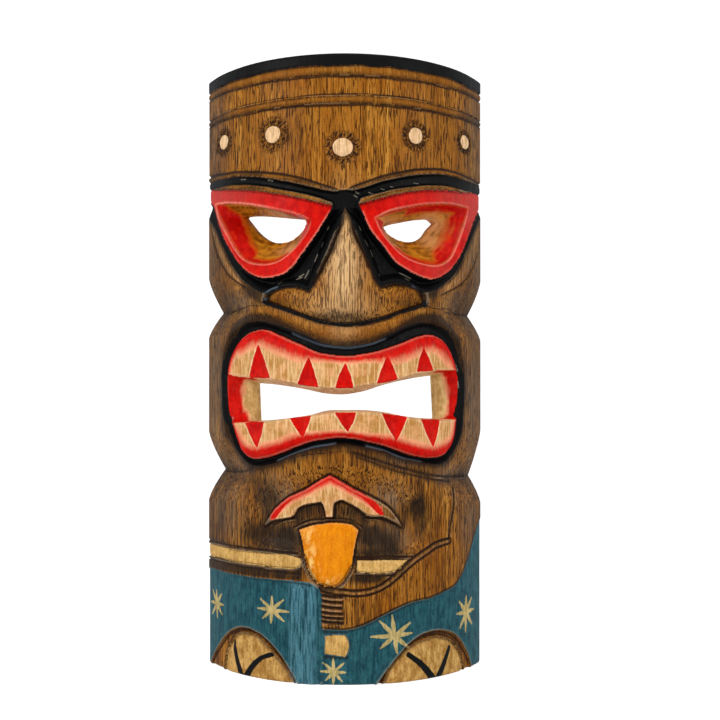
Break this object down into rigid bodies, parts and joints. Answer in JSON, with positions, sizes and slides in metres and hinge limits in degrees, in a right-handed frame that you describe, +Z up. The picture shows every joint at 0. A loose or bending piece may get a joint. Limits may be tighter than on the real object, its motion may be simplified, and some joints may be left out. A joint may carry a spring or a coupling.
{
  "type": "tiki wall mask",
  "caption": "Hand-carved, painted wooden tiki wall mask in three tiers, hollow at the back, open at the eyes and mouth, with a steel ring hanger.",
  "frame": {"origin": "middle of the foot: half way across, half way from the flat back to the crown of the front, on the face it stands on", "axes": "+Z up the mask, the carved face looks along -Y, +X to the viewer's right as seen from the front"},
  "size_m": [0.234, 0.07, 0.5],
  "materials": {
    "carved_wood": "stained, hand painted and clear gloss lacquered",
    "hanger_steel": "zinc plated",
    "screw_steel": "zinc plated"
  },
  "bodies": {
    "mask": {"carved_mask": "carved_wood", "hanger_strap": "hanger_steel", "upper_strap_screw": "screw_steel", "lower_strap_screw": "screw_steel"},
    "ring": {"hanger_ring": "hanger_steel"}
  },
  "joints": [
    {"name": "ring_swing", "type": "hinge", "parent": "mask", "child": "ring", "pos_m": [0, 0.0313, 0.4655], "axis": [1, 0, 0], "range_deg": [0, 175]}
  ]
}
